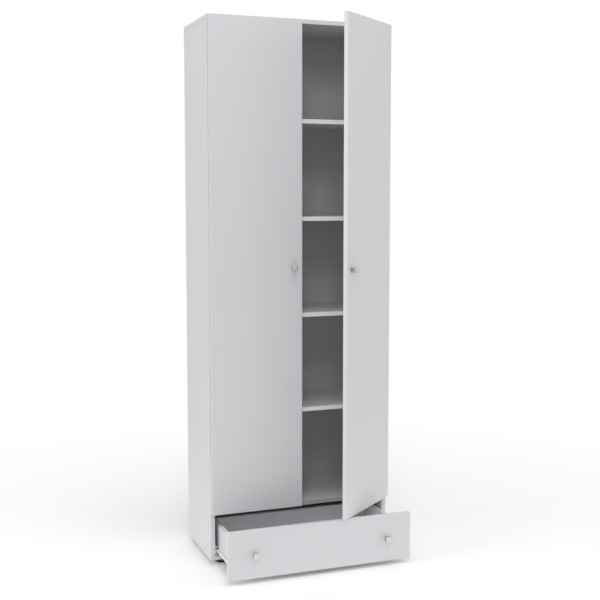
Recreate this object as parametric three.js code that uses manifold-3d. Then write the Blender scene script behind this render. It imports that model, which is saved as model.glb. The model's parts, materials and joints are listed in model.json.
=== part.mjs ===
// A tall two-door wardrobe with one wide drawer, in flat-pack boards.
// Millimetres, +Z up. The drawing frame has x = 0 on the centre plane, y = 0 on the front edges of the
// carcass (y grows towards the back) and z = 0 on the floor. The last lines move the finished wardrobe so
// that its origin is the middle of its footprint. It stands with the left door shut, the right door partly
// open and the drawer partly out.

import * as THREE from 'three';
import { mergeVertices } from 'three/addons/utils/BufferGeometryUtils.js';
import Module from 'manifold-3d';

const wasm = await Module();
wasm.setup();

// ---------- driving dimensions ----------

const WIDTH = 670;
const HEIGHT = 1900;
const CARCASS_DEPTH = 315;
const BOARD = 15; // melamine-faced chipboard
const SHEET = 3; // fibreboard for the back and the drawer bottom
const PLAY = 0.3; // gap between pieces that touch
const FOOT_HEIGHT = 20;
const DRAWER_SPACE = 148; // clear height of the drawer compartment
const SHELVES = 4;
const SHELF_SETBACK = 8;
const SHELF_PLAY = 1; // at each end of a shelf

const DOOR_GAP = 3; // between a door and the carcass
const DOOR_DROP = 3; // top edge of a door below the top of the carcass
const FRONT_REVEAL = 1; // the fronts stop this far inside the outer faces
const FRONT_GAP = 3; // between neighbouring fronts
const DOOR_BOTTOM = 186;
const DRAWER_FRONT_BOTTOM = 17;
const DOOR_OPEN = 39.5; // degrees, right door
const DRAWER_OUT = 189;

const PIVOT_INSET = 5.2; // hinge axis from the door's hinge edge
const PIVOT_DEPTH = 5; // hinge axis below the door's inner face
const HINGE_FROM_END = 100;

const KNOB_INSET = 33; // knob centre from the door's free edge
const KNOB_HEIGHT = 1045;
const DRAWER_KNOB_X = 242;

const SIDE_GAP = 13; // from a side panel to the drawer box, filled by the runners
const DRAWER_LENGTH = 290;
const DRAWER_SIDE_HEIGHT = 100;
const ROLLER_RADIUS = 7;
const ROLLER_Z = 48;

// ---------- places worked out from them ----------

const HALF = WIDTH / 2;
const INNER = HALF - BOARD; // inner face of a side panel
const BOTTOM_TOP = FOOT_HEIGHT + BOARD;
const DIVIDER_Z = BOTTOM_TOP + DRAWER_SPACE;
const TOP_UNDERSIDE = HEIGHT - BOARD;
const COMPARTMENT = (TOP_UNDERSIDE - DIVIDER_Z - BOARD * (SHELVES + 1)) / (SHELVES + 1);
const BACK_FACE = CARCASS_DEPTH + PLAY; // inner face of the back sheets
const DOOR_TOP = HEIGHT - DOOR_DROP;
const DOOR_WIDTH = HALF - FRONT_REVEAL - FRONT_GAP / 2;
const HINGE_HEIGHTS = [DOOR_BOTTOM + HINGE_FROM_END, (DOOR_BOTTOM + DOOR_TOP) / 2, DOOR_TOP - HINGE_FROM_END];
const SIDES = [['left', -1], ['right', 1]];

// ---------- materials ----------

const surface = (color, roughness, metalness = 0) =>
  new THREE.MeshStandardMaterial({ color, roughness, metalness });
const melamine = surface(0xe4e4e7, 0.5);
const fibreboard = surface(0xcfcfd2, 0.7);
const plasticWhite = surface(0xf2f2f2, 0.45);
const plasticBlack = surface(0x161616, 0.5);
const steel = surface(0xb9bbbd, 0.35, 0.9);
const epoxyWhite = surface(0xf4f4f4, 0.35);
const satinMetal = surface(0xc6c6c8, 0.3, 0.8);

// ---------- shapes ----------

const block = ([x0, x1], [y0, y1], [z0, z1]) =>
  new THREE.BoxGeometry(x1 - x0, y1 - y0, z1 - z0).translate((x0 + x1) / 2, (y0 + y1) / 2, (z0 + z1) / 2);

// A round piece turned from [radius, distance] steps, with distance counted from `from` towards `to`.
function turned(steps, from, to, sides) {
  const start = new THREE.Vector3(...from);
  const direction = new THREE.Vector3(...to).sub(start).normalize();
  const turn = new THREE.Quaternion().setFromUnitVectors(new THREE.Vector3(0, 1, 0), direction);
  const profile = steps.map(([radius, along]) => new THREE.Vector2(radius, along));
  return new THREE.LatheGeometry(profile, sides).applyQuaternion(turn).translate(...from);
}

function rod(from, to, radius, sides = 8) {
  const length = new THREE.Vector3(...from).distanceTo(new THREE.Vector3(...to));
  return turned([[0, 0], [radius, 0], [radius, length], [0, length]], from, to, sides);
}

// An outline in x and y, drawn upwards from z0 to z1.
function upright(points, z0, z1) {
  const outline = new THREE.Shape(points.map(([x, y]) => new THREE.Vector2(x, y)));
  return new THREE.ExtrudeGeometry(outline, { depth: z1 - z0, bevelEnabled: false }).translate(0, 0, z0);
}

function solid(geometry) {
  const bare = geometry.clone();
  bare.deleteAttribute('normal');
  bare.deleteAttribute('uv');
  const merged = mergeVertices(bare, 1e-4);
  const corners = merged.index.array;
  const kept = [];
  for (let i = 0; i < corners.length; i += 3) {
    const [a, b, c] = corners.slice(i, i + 3);
    if (a !== b && b !== c && c !== a) kept.push(a, b, c);
  }
  return new wasm.Manifold(new wasm.Mesh({
    numProp: 3,
    vertProperties: new Float32Array(merged.attributes.position.array),
    triVerts: new Uint32Array(kept),
  }));
}

function shapeOf(manifold) {
  const mesh = manifold.getMesh();
  const geometry = new THREE.BufferGeometry();
  geometry.setAttribute('position', new THREE.BufferAttribute(new Float32Array(mesh.vertProperties), 3));
  geometry.setIndex([...mesh.triVerts]);
  geometry.computeVertexNormals();
  return geometry;
}

const cut = (base, cutters) =>
  shapeOf(cutters.reduce((left, cutter) => left.subtract(solid(cutter)), solid(base)));
const join = (parts) => shapeOf(parts.map(solid).reduce((all, part) => all.add(part)));

// The stretch in x between two distances from the inner face of a side panel, counted inwards.
const acrossSpan = (s) => (a, b) => {
  const ends = [s * (INNER - a), s * (INNER - b)];
  return [Math.min(...ends), Math.max(...ends)];
};

function piece(parent, name, geometry, material) {
  const mesh = new THREE.Mesh(geometry, material);
  mesh.name = name;
  parent.add(mesh);
}

const wardrobe = new THREE.Group();

// ---------- carcass boards ----------

for (const [name, s] of SIDES) {
  const across = s > 0 ? [INNER, HALF] : [-HALF, -INNER];
  const board = block(across, [0, CARCASS_DEPTH], [BOTTOM_TOP + PLAY, TOP_UNDERSIDE - PLAY]);
  piece(wardrobe, `side_panel_${name}`, board, melamine);
}
const fullWidth = [-HALF, HALF];
const fullDepth = [0, CARCASS_DEPTH];
const dividerWidth = [-INNER + PLAY, INNER - PLAY];
piece(wardrobe, 'top_panel', block(fullWidth, fullDepth, [TOP_UNDERSIDE, HEIGHT]), melamine);
piece(wardrobe, 'bottom_panel', block(fullWidth, fullDepth, [FOOT_HEIGHT, BOTTOM_TOP]), melamine);
piece(wardrobe, 'drawer_divider', block(dividerWidth, fullDepth, [DIVIDER_Z, DIVIDER_Z + BOARD]), melamine);

for (let i = 0; i < SHELVES; i += 1) {
  const under = DIVIDER_Z + BOARD + COMPARTMENT * (i + 1) + BOARD * i;
  const half = INNER - SHELF_PLAY;
  const shelf = block([-half, half], [SHELF_SETBACK, CARCASS_DEPTH - PLAY], [under, under + BOARD]);
  piece(wardrobe, `shelf_${i + 1}`, shelf, melamine);
}

// ---------- feet ----------

const FOOT_RADIUS = 22;
const FOOT_CHAMFER = 3;
const FOOT_FROM_SIDE = 49;
const FOOT_FROM_FRONT = 42;

for (const [depthName, y] of [['front', FOOT_FROM_FRONT], ['rear', CARCASS_DEPTH - FOOT_FROM_FRONT]]) {
  for (const [sideName, s] of SIDES) {
    const x = s * (HALF - FOOT_FROM_SIDE);
    const top = FOOT_HEIGHT - PLAY;
    const rim = FOOT_RADIUS - FOOT_CHAMFER;
    const steps = [[0, 0], [rim, 0], [FOOT_RADIUS, FOOT_CHAMFER], [FOOT_RADIUS, top], [0, top]];
    piece(wardrobe, `foot_${depthName}_${sideName}`, turned(steps, [x, y, 0], [x, y, 1], 24), plasticBlack);
  }
}

// ---------- hinges on the carcass side ----------

// The arm runs forward over its mounting plate, passes through the mouth of the cup in the door and turns
// outwards inside the cup, so that it stays clear of the door at every angle.
const PLATE = { thick: 8, half: 8, front: 20, rear: 58 };
const WING = { thick: 2.5, half: 24, front: 29, rear: 45 };
const ARM = { thick: 1.8, half: 5, rear: 62 };
const ARM_FROM_SIDE = PLATE.thick + PLAY;
const NOSE_THICK = 1.4;
const NOSE_Y = -DOOR_GAP - PIVOT_DEPTH - 5; // middle of the arm's turned end
const NOSE_END = FRONT_REVEAL + PIVOT_INSET + 2.5; // from the outer face of the side panel

for (const [name, s] of SIDES) {
  const x = (across) => s * (INNER - across);
  const span = acrossSpan(s);
  HINGE_HEIGHTS.forEach((z, i) => {
    const wing = block(span(PLAY, WING.thick), [WING.front, WING.rear], [z - WING.half, z + WING.half]);
    const body = block(span(PLAY, PLATE.thick), [PLATE.front, PLATE.rear], [z - PLATE.half, z + PLATE.half]);
    piece(wardrobe, `hinge_plate_${name}_${i + 1}`, join([wing, body]), steel);

    const inner = x(ARM_FROM_SIDE + ARM.thick);
    const outer = x(ARM_FROM_SIDE);
    const noseX = s * (HALF - NOSE_END);
    const noseFront = NOSE_Y - NOSE_THICK / 2;
    const noseBack = NOSE_Y + NOSE_THICK / 2;
    const outline = [
      [outer, ARM.rear], [inner, ARM.rear], [inner, noseFront], [noseX, noseFront], [noseX, noseBack],
      [outer, noseBack],
    ];
    piece(wardrobe, `hinge_arm_${name}_${i + 1}`, upright(outline, z - ARM.half, z + ARM.half), steel);
  });
}

// ---------- cabinet runners ----------

// Each cabinet runner is a channel open towards the drawer, with an axle for its front roller.
const METAL = 1.2;
const CHANNEL = { front: 2, rear: 302, height: 26, reach: 10.3 };
const CHANNEL_BOTTOM = ROLLER_Z - ROLLER_RADIUS - PLAY - METAL;
const CHANNEL_TOP = CHANNEL_BOTTOM + CHANNEL.height;
const ROLLER_ACROSS = [3, 9.5];
const AXLE_RADIUS = 2;
const FRONT_ROLLER_Y = 14;

// A roller with its bore.
function roller(s, y) {
  const [a, b] = ROLLER_ACROSS;
  const at = (across) => [s * (INNER - across), y, ROLLER_Z];
  return cut(rod(at(a), at(b), ROLLER_RADIUS, 24), [rod(at(a - 1), at(b + 1), AXLE_RADIUS + PLAY, 12)]);
}

for (const [name, s] of SIDES) {
  const span = acrossSpan(s);
  const along = [CHANNEL.front, CHANNEL.rear];
  const at = (across) => [s * (INNER - across), FRONT_ROLLER_Y, ROLLER_Z];
  const web = block(span(PLAY, PLAY + METAL), along, [CHANNEL_BOTTOM, CHANNEL_TOP]);
  const lowerLip = block(span(PLAY, CHANNEL.reach), along, [CHANNEL_BOTTOM, CHANNEL_BOTTOM + METAL]);
  const upperLip = block(span(PLAY, CHANNEL.reach), along, [CHANNEL_TOP - METAL, CHANNEL_TOP]);
  const axle = rod(at(PLAY + METAL / 2), at(CHANNEL.reach), AXLE_RADIUS, 12);
  piece(wardrobe, `runner_cabinet_${name}`, join([web, lowerLip, upperLip, axle]), epoxyWhite);
  piece(wardrobe, `roller_front_${name}`, roller(s, FRONT_ROLLER_Y), plasticWhite);
}

// ---------- back ----------

// Two sheets lie on the rear edges of the boards, and an H-shaped strip joins them between the sides.
const BACK_INSET = 2; // the sheets stop this far inside the outer faces
const BACK_JOINT_Z = 1041.5;
const STRIP = { half: 12, wall: 0.8 };
const STRIP_FRONT = BACK_FACE - PLAY - STRIP.wall;
const STRIP_REAR = BACK_FACE + SHEET + PLAY + STRIP.wall;

const jointBelow = BACK_JOINT_Z - STRIP.wall / 2 - PLAY;
const jointAbove = BACK_JOINT_Z + STRIP.wall / 2 + PLAY;
const backWide = [-HALF + BACK_INSET, HALF - BACK_INSET];
const backSheet = (z0, z1) => block(backWide, [BACK_FACE, BACK_FACE + SHEET], [z0, z1]);
piece(wardrobe, 'back_panel_lower', backSheet(FOOT_HEIGHT + BACK_INSET, jointBelow), fibreboard);
piece(wardrobe, 'back_panel_upper', backSheet(jointAbove, HEIGHT - BACK_INSET), fibreboard);

const stripWide = [-INNER + SHELF_PLAY, INNER - SHELF_PLAY];
const stripHigh = [BACK_JOINT_Z - STRIP.half, BACK_JOINT_Z + STRIP.half];
piece(wardrobe, 'back_joint_strip', join([
  block(stripWide, [STRIP_FRONT, STRIP_FRONT + STRIP.wall], stripHigh),
  block(stripWide, [STRIP_REAR - STRIP.wall, STRIP_REAR], stripHigh),
  block(stripWide, [STRIP_FRONT, STRIP_REAR], [BACK_JOINT_Z - STRIP.wall / 2, BACK_JOINT_Z + STRIP.wall / 2]),
]), plasticWhite);

// ---------- knobs ----------

const KNOB = { half: 10, corner: 3.2, head: 10, neck: 5.5, reach: 22 };

function roundedSquare(half, radius) {
  const shape = new THREE.Shape();
  const straight = half - radius;
  const quarter = Math.PI / 2;
  [[1, 1], [-1, 1], [-1, -1], [1, -1]].forEach(([sx, sy], i) => {
    shape.absarc(sx * straight, sy * straight, radius, i * quarter, (i + 1) * quarter);
  });
  return shape;
}

// A knob in front of a face at x, y, z.
function knob(parent, name, x, y, z) {
  const head = new THREE.ExtrudeGeometry(roundedSquare(KNOB.half, KNOB.corner), {
    depth: KNOB.head, bevelEnabled: false, curveSegments: 4,
  });
  head.rotateX(Math.PI / 2).translate(x, y - KNOB.reach + KNOB.head, z);
  const neck = rod([x, y - PLAY, z], [x, y - KNOB.reach + KNOB.head / 2, z], KNOB.neck, 16);
  piece(parent, name, join([head, neck]), satinMetal);
}

// ---------- doors ----------

// A door is drawn around its hinge axis: x = 0, y = 0 is the axis, and z is the height above the floor.
const CUP = { radius: 17.2, wall: 1.2, depth: 12.4, floor: 0.8, fromEdge: 22.5, sides: 28 };
const FLANGE = { radius: 18.6, thick: 1, half: 29, from: 24, to: 40 };
const BUFFER = { radius: 4, thick: 2.2, fromEdge: 20, fromTop: 8, fromBottom: 6 };

function door(name, s, open) {
  const swing = new THREE.Group();
  const x = (fromEdge) => s * (PIVOT_INSET - fromEdge);
  const span = (a, b) => [Math.min(x(a), x(b)), Math.max(x(a), x(b))];
  const innerFace = PIVOT_DEPTH;
  const outerFace = PIVOT_DEPTH - BOARD;

  const pockets = [];
  HINGE_HEIGHTS.forEach((z, i) => {
    const at = (y) => [x(CUP.fromEdge), y, z];
    const flangeFace = innerFace + PLAY;
    const flangeTop = flangeFace + FLANGE.thick;
    const cupFloor = innerFace - CUP.depth;
    const body = rod(at(cupFloor), at(flangeTop), CUP.radius, CUP.sides);
    const ring = rod(at(flangeFace), at(flangeTop), FLANGE.radius, CUP.sides);
    const wingHigh = [z - FLANGE.half, z + FLANGE.half];
    const wings = block(span(FLANGE.from, FLANGE.to), [flangeFace, flangeTop], wingHigh);
    const hollow = rod(at(cupFloor + CUP.floor), at(flangeTop + 1), CUP.radius - CUP.wall, CUP.sides);
    piece(swing, `hinge_cup_${name}_${i + 1}`, cut(join([body, ring, wings]), [hollow]), steel);
    pockets.push(rod(at(cupFloor - PLAY), at(innerFace + 1), CUP.radius + PLAY, CUP.sides));
  });

  const board = block(span(0, DOOR_WIDTH), [outerFace, innerFace], [DOOR_BOTTOM, DOOR_TOP]);
  piece(swing, `door_${name}`, cut(board, pockets), melamine);
  knob(swing, `knob_door_${name}`, x(DOOR_WIDTH - KNOB_INSET), outerFace, KNOB_HEIGHT);

  const bufferX = x(DOOR_WIDTH - BUFFER.fromEdge);
  const near = innerFace + PLAY;
  const far = near + BUFFER.thick;
  const buffer = (z) => rod([bufferX, near, z], [bufferX, far, z], BUFFER.radius, 12);
  piece(swing, `buffer_upper_${name}`, buffer(DOOR_TOP - BUFFER.fromTop), plasticWhite);
  piece(swing, `buffer_lower_${name}`, buffer(DOOR_BOTTOM + BUFFER.fromBottom), plasticWhite);

  swing.position.set(s * (HALF - FRONT_REVEAL - PIVOT_INSET), -DOOR_GAP - PIVOT_DEPTH, 0);
  swing.rotation.z = THREE.MathUtils.degToRad(s * open);
  wardrobe.add(swing);
}

door('left', -1, 0);
door('right', 1, DOOR_OPEN);

// ---------- drawer ----------

// The drawer is drawn shut, and its group is then pulled out.
const drawer = new THREE.Group();
const FRONT_TOP = DOOR_BOTTOM - FRONT_GAP;
const FRONT_OUTER = -DOOR_GAP - BOARD;
const BOX_FRONT = -DOOR_GAP + PLAY;
const BOX_REAR = BOX_FRONT + DRAWER_LENGTH;
const BOX_HALF = INNER - SIDE_GAP;
const BOX_INNER = BOX_HALF - BOARD;
const BOX_BOTTOM = 42;
const BOX_HIGH = [BOX_BOTTOM, BOX_BOTTOM + DRAWER_SIDE_HEIGHT];
const BACK_FRONT = BOX_REAR - BOARD;
const GROOVE = { z: 52, depth: 6 };
const GROOVE_Z = [GROOVE.z, GROOVE.z + SHEET + 2 * PLAY];
const SHEET_GRIP = GROOVE.depth - 0.5; // how far the bottom sheet reaches into its grooves
const RUNNER_TOP = ROLLER_Z + ROLLER_RADIUS + PLAY + METAL;
const FLANGE_Z = [BOX_BOTTOM - PLAY - METAL, BOX_BOTTOM - PLAY];
const REAR_ROLLER_Y = 270;

for (const [name, s] of SIDES) {
  const span = acrossSpan(s);
  const along = [BOX_FRONT, BOX_REAR];
  const sideInner = SIDE_GAP + BOARD;
  const past = [BOX_FRONT - 1, BOX_REAR + 1];
  const groove = block(span(sideInner - GROOVE.depth, sideInner + 1), past, GROOVE_Z);
  const side = block(span(SIDE_GAP, sideInner), along, BOX_HIGH);
  piece(drawer, `drawer_side_${name}`, cut(side, [groove]), melamine);

  // The drawer runner: a flange under the side, a web beside it and a lip that rides on the front roller.
  const webFace = SIDE_GAP - PLAY;
  const at = (across) => [s * (INNER - across), REAR_ROLLER_Y, ROLLER_Z];
  const web = block(span(webFace - METAL, webFace), along, [FLANGE_Z[0], RUNNER_TOP]);
  const flange = block(span(webFace - METAL, sideInner), along, FLANGE_Z);
  const lip = block(span(ROLLER_ACROSS[0], webFace), along, [RUNNER_TOP - METAL, RUNNER_TOP]);
  const axle = rod(at(webFace - METAL / 2), at(ROLLER_ACROSS[0] - PLAY), AXLE_RADIUS, 12);
  piece(drawer, `runner_drawer_${name}`, join([web, flange, lip, axle]), epoxyWhite);
  piece(drawer, `roller_rear_${name}`, roller(s, REAR_ROLLER_Y), plasticWhite);
  knob(drawer, `knob_drawer_${name}`, s * DRAWER_KNOB_X, FRONT_OUTER, (DRAWER_FRONT_BOTTOM + FRONT_TOP) / 2);
}

const frontWide = [-HALF + FRONT_REVEAL, HALF - FRONT_REVEAL];
const front = block(frontWide, [FRONT_OUTER, -DOOR_GAP], [DRAWER_FRONT_BOTTOM, FRONT_TOP]);
const frontGroove = block([-BOX_INNER, BOX_INNER], [-DOOR_GAP - GROOVE.depth, -DOOR_GAP + 1], GROOVE_Z);
piece(drawer, 'drawer_front', cut(front, [frontGroove]), melamine);

const boxBackWide = [-BOX_INNER + PLAY, BOX_INNER - PLAY];
const back = block(boxBackWide, [BACK_FRONT, BOX_REAR], BOX_HIGH);
const backGroove = block([-BOX_HALF, BOX_HALF], [BACK_FRONT - 1, BACK_FRONT + GROOVE.depth], GROOVE_Z);
piece(drawer, 'drawer_back', cut(back, [backGroove]), melamine);

// The bottom sheet is narrower where it enters the groove of the front.
const sheetHalf = BOX_INNER + SHEET_GRIP;
const sheetBack = BACK_FRONT + SHEET_GRIP;
const sheetZ = [GROOVE.z + PLAY, GROOVE.z + PLAY + SHEET];
piece(drawer, 'drawer_bottom', join([
  block([-sheetHalf, sheetHalf], [BOX_FRONT, sheetBack], sheetZ),
  block([-BOX_INNER + PLAY, BOX_INNER - PLAY], [-DOOR_GAP - SHEET_GRIP, BOX_FRONT + 1], sheetZ),
]), fibreboard);

drawer.position.y = -DRAWER_OUT;
wardrobe.add(drawer);

// ---------- origin: the middle of the footprint, on the floor ----------

const extent = new THREE.Box3().setFromObject(wardrobe, true);
wardrobe.position.set(-(extent.min.x + extent.max.x) / 2, -(extent.min.y + extent.max.y) / 2, -extent.min.z);
wardrobe.updateMatrixWorld(true);

export default wardrobe;
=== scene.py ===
"""A tall white wardrobe with two doors and one drawer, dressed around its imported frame."""

import json
import math

import bmesh
import bpy
from mathutils import Matrix, Vector


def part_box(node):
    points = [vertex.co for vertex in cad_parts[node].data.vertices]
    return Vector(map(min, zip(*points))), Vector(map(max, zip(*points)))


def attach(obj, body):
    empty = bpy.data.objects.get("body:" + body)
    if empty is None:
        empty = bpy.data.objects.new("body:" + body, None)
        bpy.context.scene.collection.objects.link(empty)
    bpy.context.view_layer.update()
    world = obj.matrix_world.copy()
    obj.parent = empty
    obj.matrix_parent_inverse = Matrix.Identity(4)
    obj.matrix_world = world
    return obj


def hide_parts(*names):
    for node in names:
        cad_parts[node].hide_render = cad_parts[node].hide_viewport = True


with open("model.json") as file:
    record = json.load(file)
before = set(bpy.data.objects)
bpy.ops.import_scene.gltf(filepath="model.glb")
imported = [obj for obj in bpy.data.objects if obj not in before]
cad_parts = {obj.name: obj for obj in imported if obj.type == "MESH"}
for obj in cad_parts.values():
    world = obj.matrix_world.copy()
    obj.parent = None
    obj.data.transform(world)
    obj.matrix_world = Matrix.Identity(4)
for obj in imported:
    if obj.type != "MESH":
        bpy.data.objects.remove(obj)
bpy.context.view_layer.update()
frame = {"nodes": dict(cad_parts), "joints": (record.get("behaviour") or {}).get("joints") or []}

MM = 0.001
SIDES = (("left", -1), ("right", 1))  # each with the sign of its X
UP = Vector((0, 0, 1))
DOWN = Vector((0, 0, -1))
REARWARD = Vector((0, 1, 0))

# ---------- sizes that the frame doesn't hold, in metres ----------

GAP = 0.3 * MM  # the clearance that the frame keeps between pieces that touch
OVERCUT = 1 * MM  # how far a cutter starts outside the surface that it cuts
WELD_DISTANCE = 0.01 * MM  # points of a CAD mesh that lie closer are joined
FLAT_ANGLE = math.radians(1)  # faces of a CAD mesh that turn less are one face
BOARD_ROUND = 0.8 * MM  # rounding of a board's edges
BAND = 1.2 * MM  # how far an edge band shows round the corner of a face
SEAM = 0.25 * MM  # the glue line beside it
HOLE_RADIUS = 2.5 * MM  # shelf pin holes, in the 32 mm system
HOLE_DEPTH = 9 * MM
HOLE_PITCH = 32 * MM
HOLE_ROW = 37 * MM  # from the front and rear edges to the hole rows
PIN_DROP = HOLE_RADIUS + 0.15 * MM  # a pin's axis below the underside of its shelf
CAM_RADIUS = 7.5 * MM
CAM_DEPTH = 12 * MM  # of its hole
CAM_SUNK = 0.4 * MM  # its rim below the panel's face
CAM_FROM_END = 34 * MM  # from the panel's upper end
CAM_ROW = 50 * MM  # from the front and rear edges to the cams and the bottom screws
NAIL_INSET = 6 * MM  # from the back's edges to its nails
NAIL_PITCH = 125 * MM
CUP_DEPTH = 12.4 * MM
CUP_RIM = 1.4 * MM  # how far the cup's round flange reaches past its wall
CUP_WALL = 1.2 * MM
CUP_FLANGE = 1 * MM
ARM_WALL = 1.1 * MM  # sheet metal of the hinge arm's channel
KNOB_FACE_DEPTH = 1.2 * MM  # how far the knob's face, in a lighter tone as painted light, reaches round its edges
GROOVE_DEPTH = 6 * MM  # of the groove for the drawer's bottom sheet
SHEET_METAL = 1.2 * MM  # the runners'
PIN_RADIUS = 2 * MM  # of the pins that the rollers turn on
BORE_RADIUS = 2.3 * MM  # of the rollers

# ---------- camera, floor and light ----------

CAMERA_PLACE = (-1.274, -3.453, 1.30)
CAMERA_HEADING = -20.42  # degrees, turned to the right of +Y
CAMERA_TILT = 5.21  # degrees below the horizon
CAMERA_LENS = 62.07
CAMERA_SENSOR = 36  # its width, in millimetres like the lens
CAMERA_SHIFT = -0.02
FLOOR_GLOW = 0.08  # the floor's own light, as of a lit sweep
FLOOR_FADE = (0.6, 2.4)  # distances between which the floor clears to the white backdrop
FLOOR_RINGS = (2.5, 9.0)  # radii where the floor's clear part starts and ends
SKY_STRENGTH = 0.59
LIGHTS = (  # name, place, target, size and power
    ("left", (-3.6, -0.4, 1.8), (0, 0, 1.0), (1.8, 2.6), 43),
    ("right", (3.1, -2.0, 1.6), (0.1, 0, 0.9), (1.8, 2.6), 26),
    ("front", (-1.4, -3.7, 3.9), (0, 0, 0.8), (1.3, 1.3), 34),
    ("overhead", (0, -1.2, 5.0), (0, -0.3, 0), (2.0, 2.0), 54),
    ("rear", (0.6, 3.4, 2.4), (0, 0, 1.0), (2.4, 2.0), 16),
)


# ---------- materials ----------

NOISE_SPREAD = (0.3, 0.7)  # most of a noise's values lie between these


class Look:
    """One material: a Principled shader, and what its nodes add to it."""

    def __init__(self, name, color, roughness, metallic=0.0):
        self.material = bpy.data.materials.new(name)
        self.material.use_nodes = True
        self.material.diffuse_color = (*color, 1)
        self.nodes = self.material.node_tree.nodes
        self.links = self.material.node_tree.links
        self.shader = self.nodes["Principled BSDF"]
        self.shader.inputs["Base Color"].default_value = (*color, 1)
        self.shader.inputs["Roughness"].default_value = roughness
        self.shader.inputs["Metallic"].default_value = metallic
        self.place = self.nodes.new("ShaderNodeTexCoord")
        self.last_bump = None

    def mapped(self, stretch):
        mapping = self.nodes.new("ShaderNodeMapping")
        mapping.inputs["Scale"].default_value = stretch
        self.links.new(self.place.outputs["Object"], mapping.inputs["Vector"])
        return mapping.outputs["Vector"]

    def noise(self, scale, detail, stretch=(1, 1, 1)):
        texture = self.nodes.new("ShaderNodeTexNoise")
        texture.inputs["Scale"].default_value = scale
        texture.inputs["Detail"].default_value = detail
        self.links.new(self.mapped(stretch), texture.inputs["Vector"])
        return texture.outputs["Fac"]

    def cells(self, scale, stretch):
        texture = self.nodes.new("ShaderNodeTexVoronoi")
        texture.inputs["Scale"].default_value = scale
        self.links.new(self.mapped(stretch), texture.inputs["Vector"])
        separate = self.nodes.new("ShaderNodeSeparateColor")
        self.links.new(texture.outputs["Color"], separate.inputs["Color"])
        return separate.outputs["Red"]

    def tint(self, value, *colors, spread=NOISE_SPREAD):
        """Colours the surface by a value, from the first colour to the last."""
        ramp = self.nodes.new("ShaderNodeValToRGB")
        stops = ramp.color_ramp.elements
        while len(stops) < len(colors):
            stops.new(0.5)
        low, high = spread
        for i, color in enumerate(colors):
            stops[i].position = low + (high - low) * i / (len(colors) - 1)
            stops[i].color = (*color, 1)
        self.links.new(value, ramp.inputs["Fac"])
        self.links.new(ramp.outputs["Color"], self.shader.inputs["Base Color"])
        return ramp.outputs["Color"]

    def rough(self, value, low, high):
        """Varies the roughness by a value."""
        span = self.nodes.new("ShaderNodeMapRange")
        span.inputs["From Min"].default_value, span.inputs["From Max"].default_value = NOISE_SPREAD
        span.inputs["To Min"].default_value = low
        span.inputs["To Max"].default_value = high
        self.links.new(value, span.inputs["Value"])
        self.links.new(span.outputs["Result"], self.shader.inputs["Roughness"])

    def bump(self, value, height, strength):
        """Adds relief of that height in metres over what is there."""
        bump = self.nodes.new("ShaderNodeBump")
        bump.inputs["Distance"].default_value = height
        bump.inputs["Strength"].default_value = strength
        self.links.new(value, bump.inputs["Height"])
        if self.last_bump:
            self.links.new(self.last_bump.outputs["Normal"], bump.inputs["Normal"])
        self.links.new(bump.outputs["Normal"], self.shader.inputs["Normal"])
        self.last_bump = bump


def melamine():
    look = Look("melamine", (0.655, 0.658, 0.678), 0.4)
    look.tint(look.noise(2.5, 3), (0.648, 0.651, 0.671), (0.662, 0.665, 0.685))
    look.rough(look.noise(26, 4), 0.36, 0.47)
    look.bump(look.noise(420, 2), 0.00006, 0.6)
    look.bump(look.noise(1500, 2), 0.00003, 0.5)
    return look.material


def edge_band(name, shade, grain):
    """The melamine strip on a board's edge. shade is its red, and grain stretches its fine lines."""
    tones = [(shade + step, shade + step + 0.003, shade + step + 0.02) for step in (-0.01, 0, 0.01)]
    look = Look(name, tones[1], 0.36)
    look.tint(look.noise(30, 2), tones[0], tones[2])
    look.rough(look.noise(120, 3), 0.3, 0.4)
    look.bump(look.noise(900, 2, grain), 0.00003, 0.5)
    return look.material


def glue_line():
    look = Look("glue_line", (0.52, 0.52, 0.52), 0.6)
    look.tint(look.noise(60, 3), (0.48, 0.475, 0.47), (0.57, 0.57, 0.57))
    return look.material


def chipboard():
    look = Look("chipboard", (0.5, 0.36, 0.22), 0.85)
    flakes = look.cells(420, (1, 1, 2.2))
    look.tint(flakes, (0.28, 0.18, 0.1), (0.5, 0.36, 0.22), (0.66, 0.52, 0.36), spread=(0, 1))
    look.bump(look.noise(900, 4), 0.0002, 0.8)
    return look.material


def hardboard():
    """Painted towards the inside, in a grey that stands for white paint with painted shade, and bare brown
    fibre on the other face and the edges.
    """
    look = Look("hardboard", (0.6, 0.6, 0.61), 0.6)
    fibre = look.noise(160, 6)
    bare = look.tint(fibre, (0.3, 0.19, 0.105), (0.42, 0.285, 0.17), spread=(0.35, 0.65))
    # painted shade: the inner paint is grey rather than white, for the shade inside the wardrobe
    paint = look.tint(look.noise(5, 3), (0.545, 0.548, 0.56), (0.575, 0.578, 0.59))
    split = look.nodes.new("ShaderNodeSeparateXYZ")
    look.links.new(look.place.outputs["Normal"], split.inputs["Vector"])
    facing = look.nodes.new("ShaderNodeMath")
    facing.operation = "LESS_THAN"
    facing.inputs[1].default_value = -0.5
    look.links.new(split.outputs["Y"], facing.inputs[0])
    mix = look.nodes.new("ShaderNodeMix")
    mix.data_type = "RGBA"
    look.links.new(facing.outputs["Value"], mix.inputs["Factor"])
    look.links.new(bare, mix.inputs["A"])
    look.links.new(paint, mix.inputs["B"])
    look.links.new(mix.outputs["Result"], look.shader.inputs["Base Color"])
    look.rough(look.noise(70, 4), 0.5, 0.68)
    look.bump(fibre, 0.00008, 0.5)
    return look.material


def white_sheet():
    look = Look("white_sheet", (0.7, 0.7, 0.71), 0.55)
    look.tint(look.noise(6, 3), (0.69, 0.69, 0.7), (0.715, 0.715, 0.725))
    look.rough(look.noise(70, 4), 0.48, 0.6)
    look.bump(look.noise(500, 3), 0.00005, 0.5)
    return look.material


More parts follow.
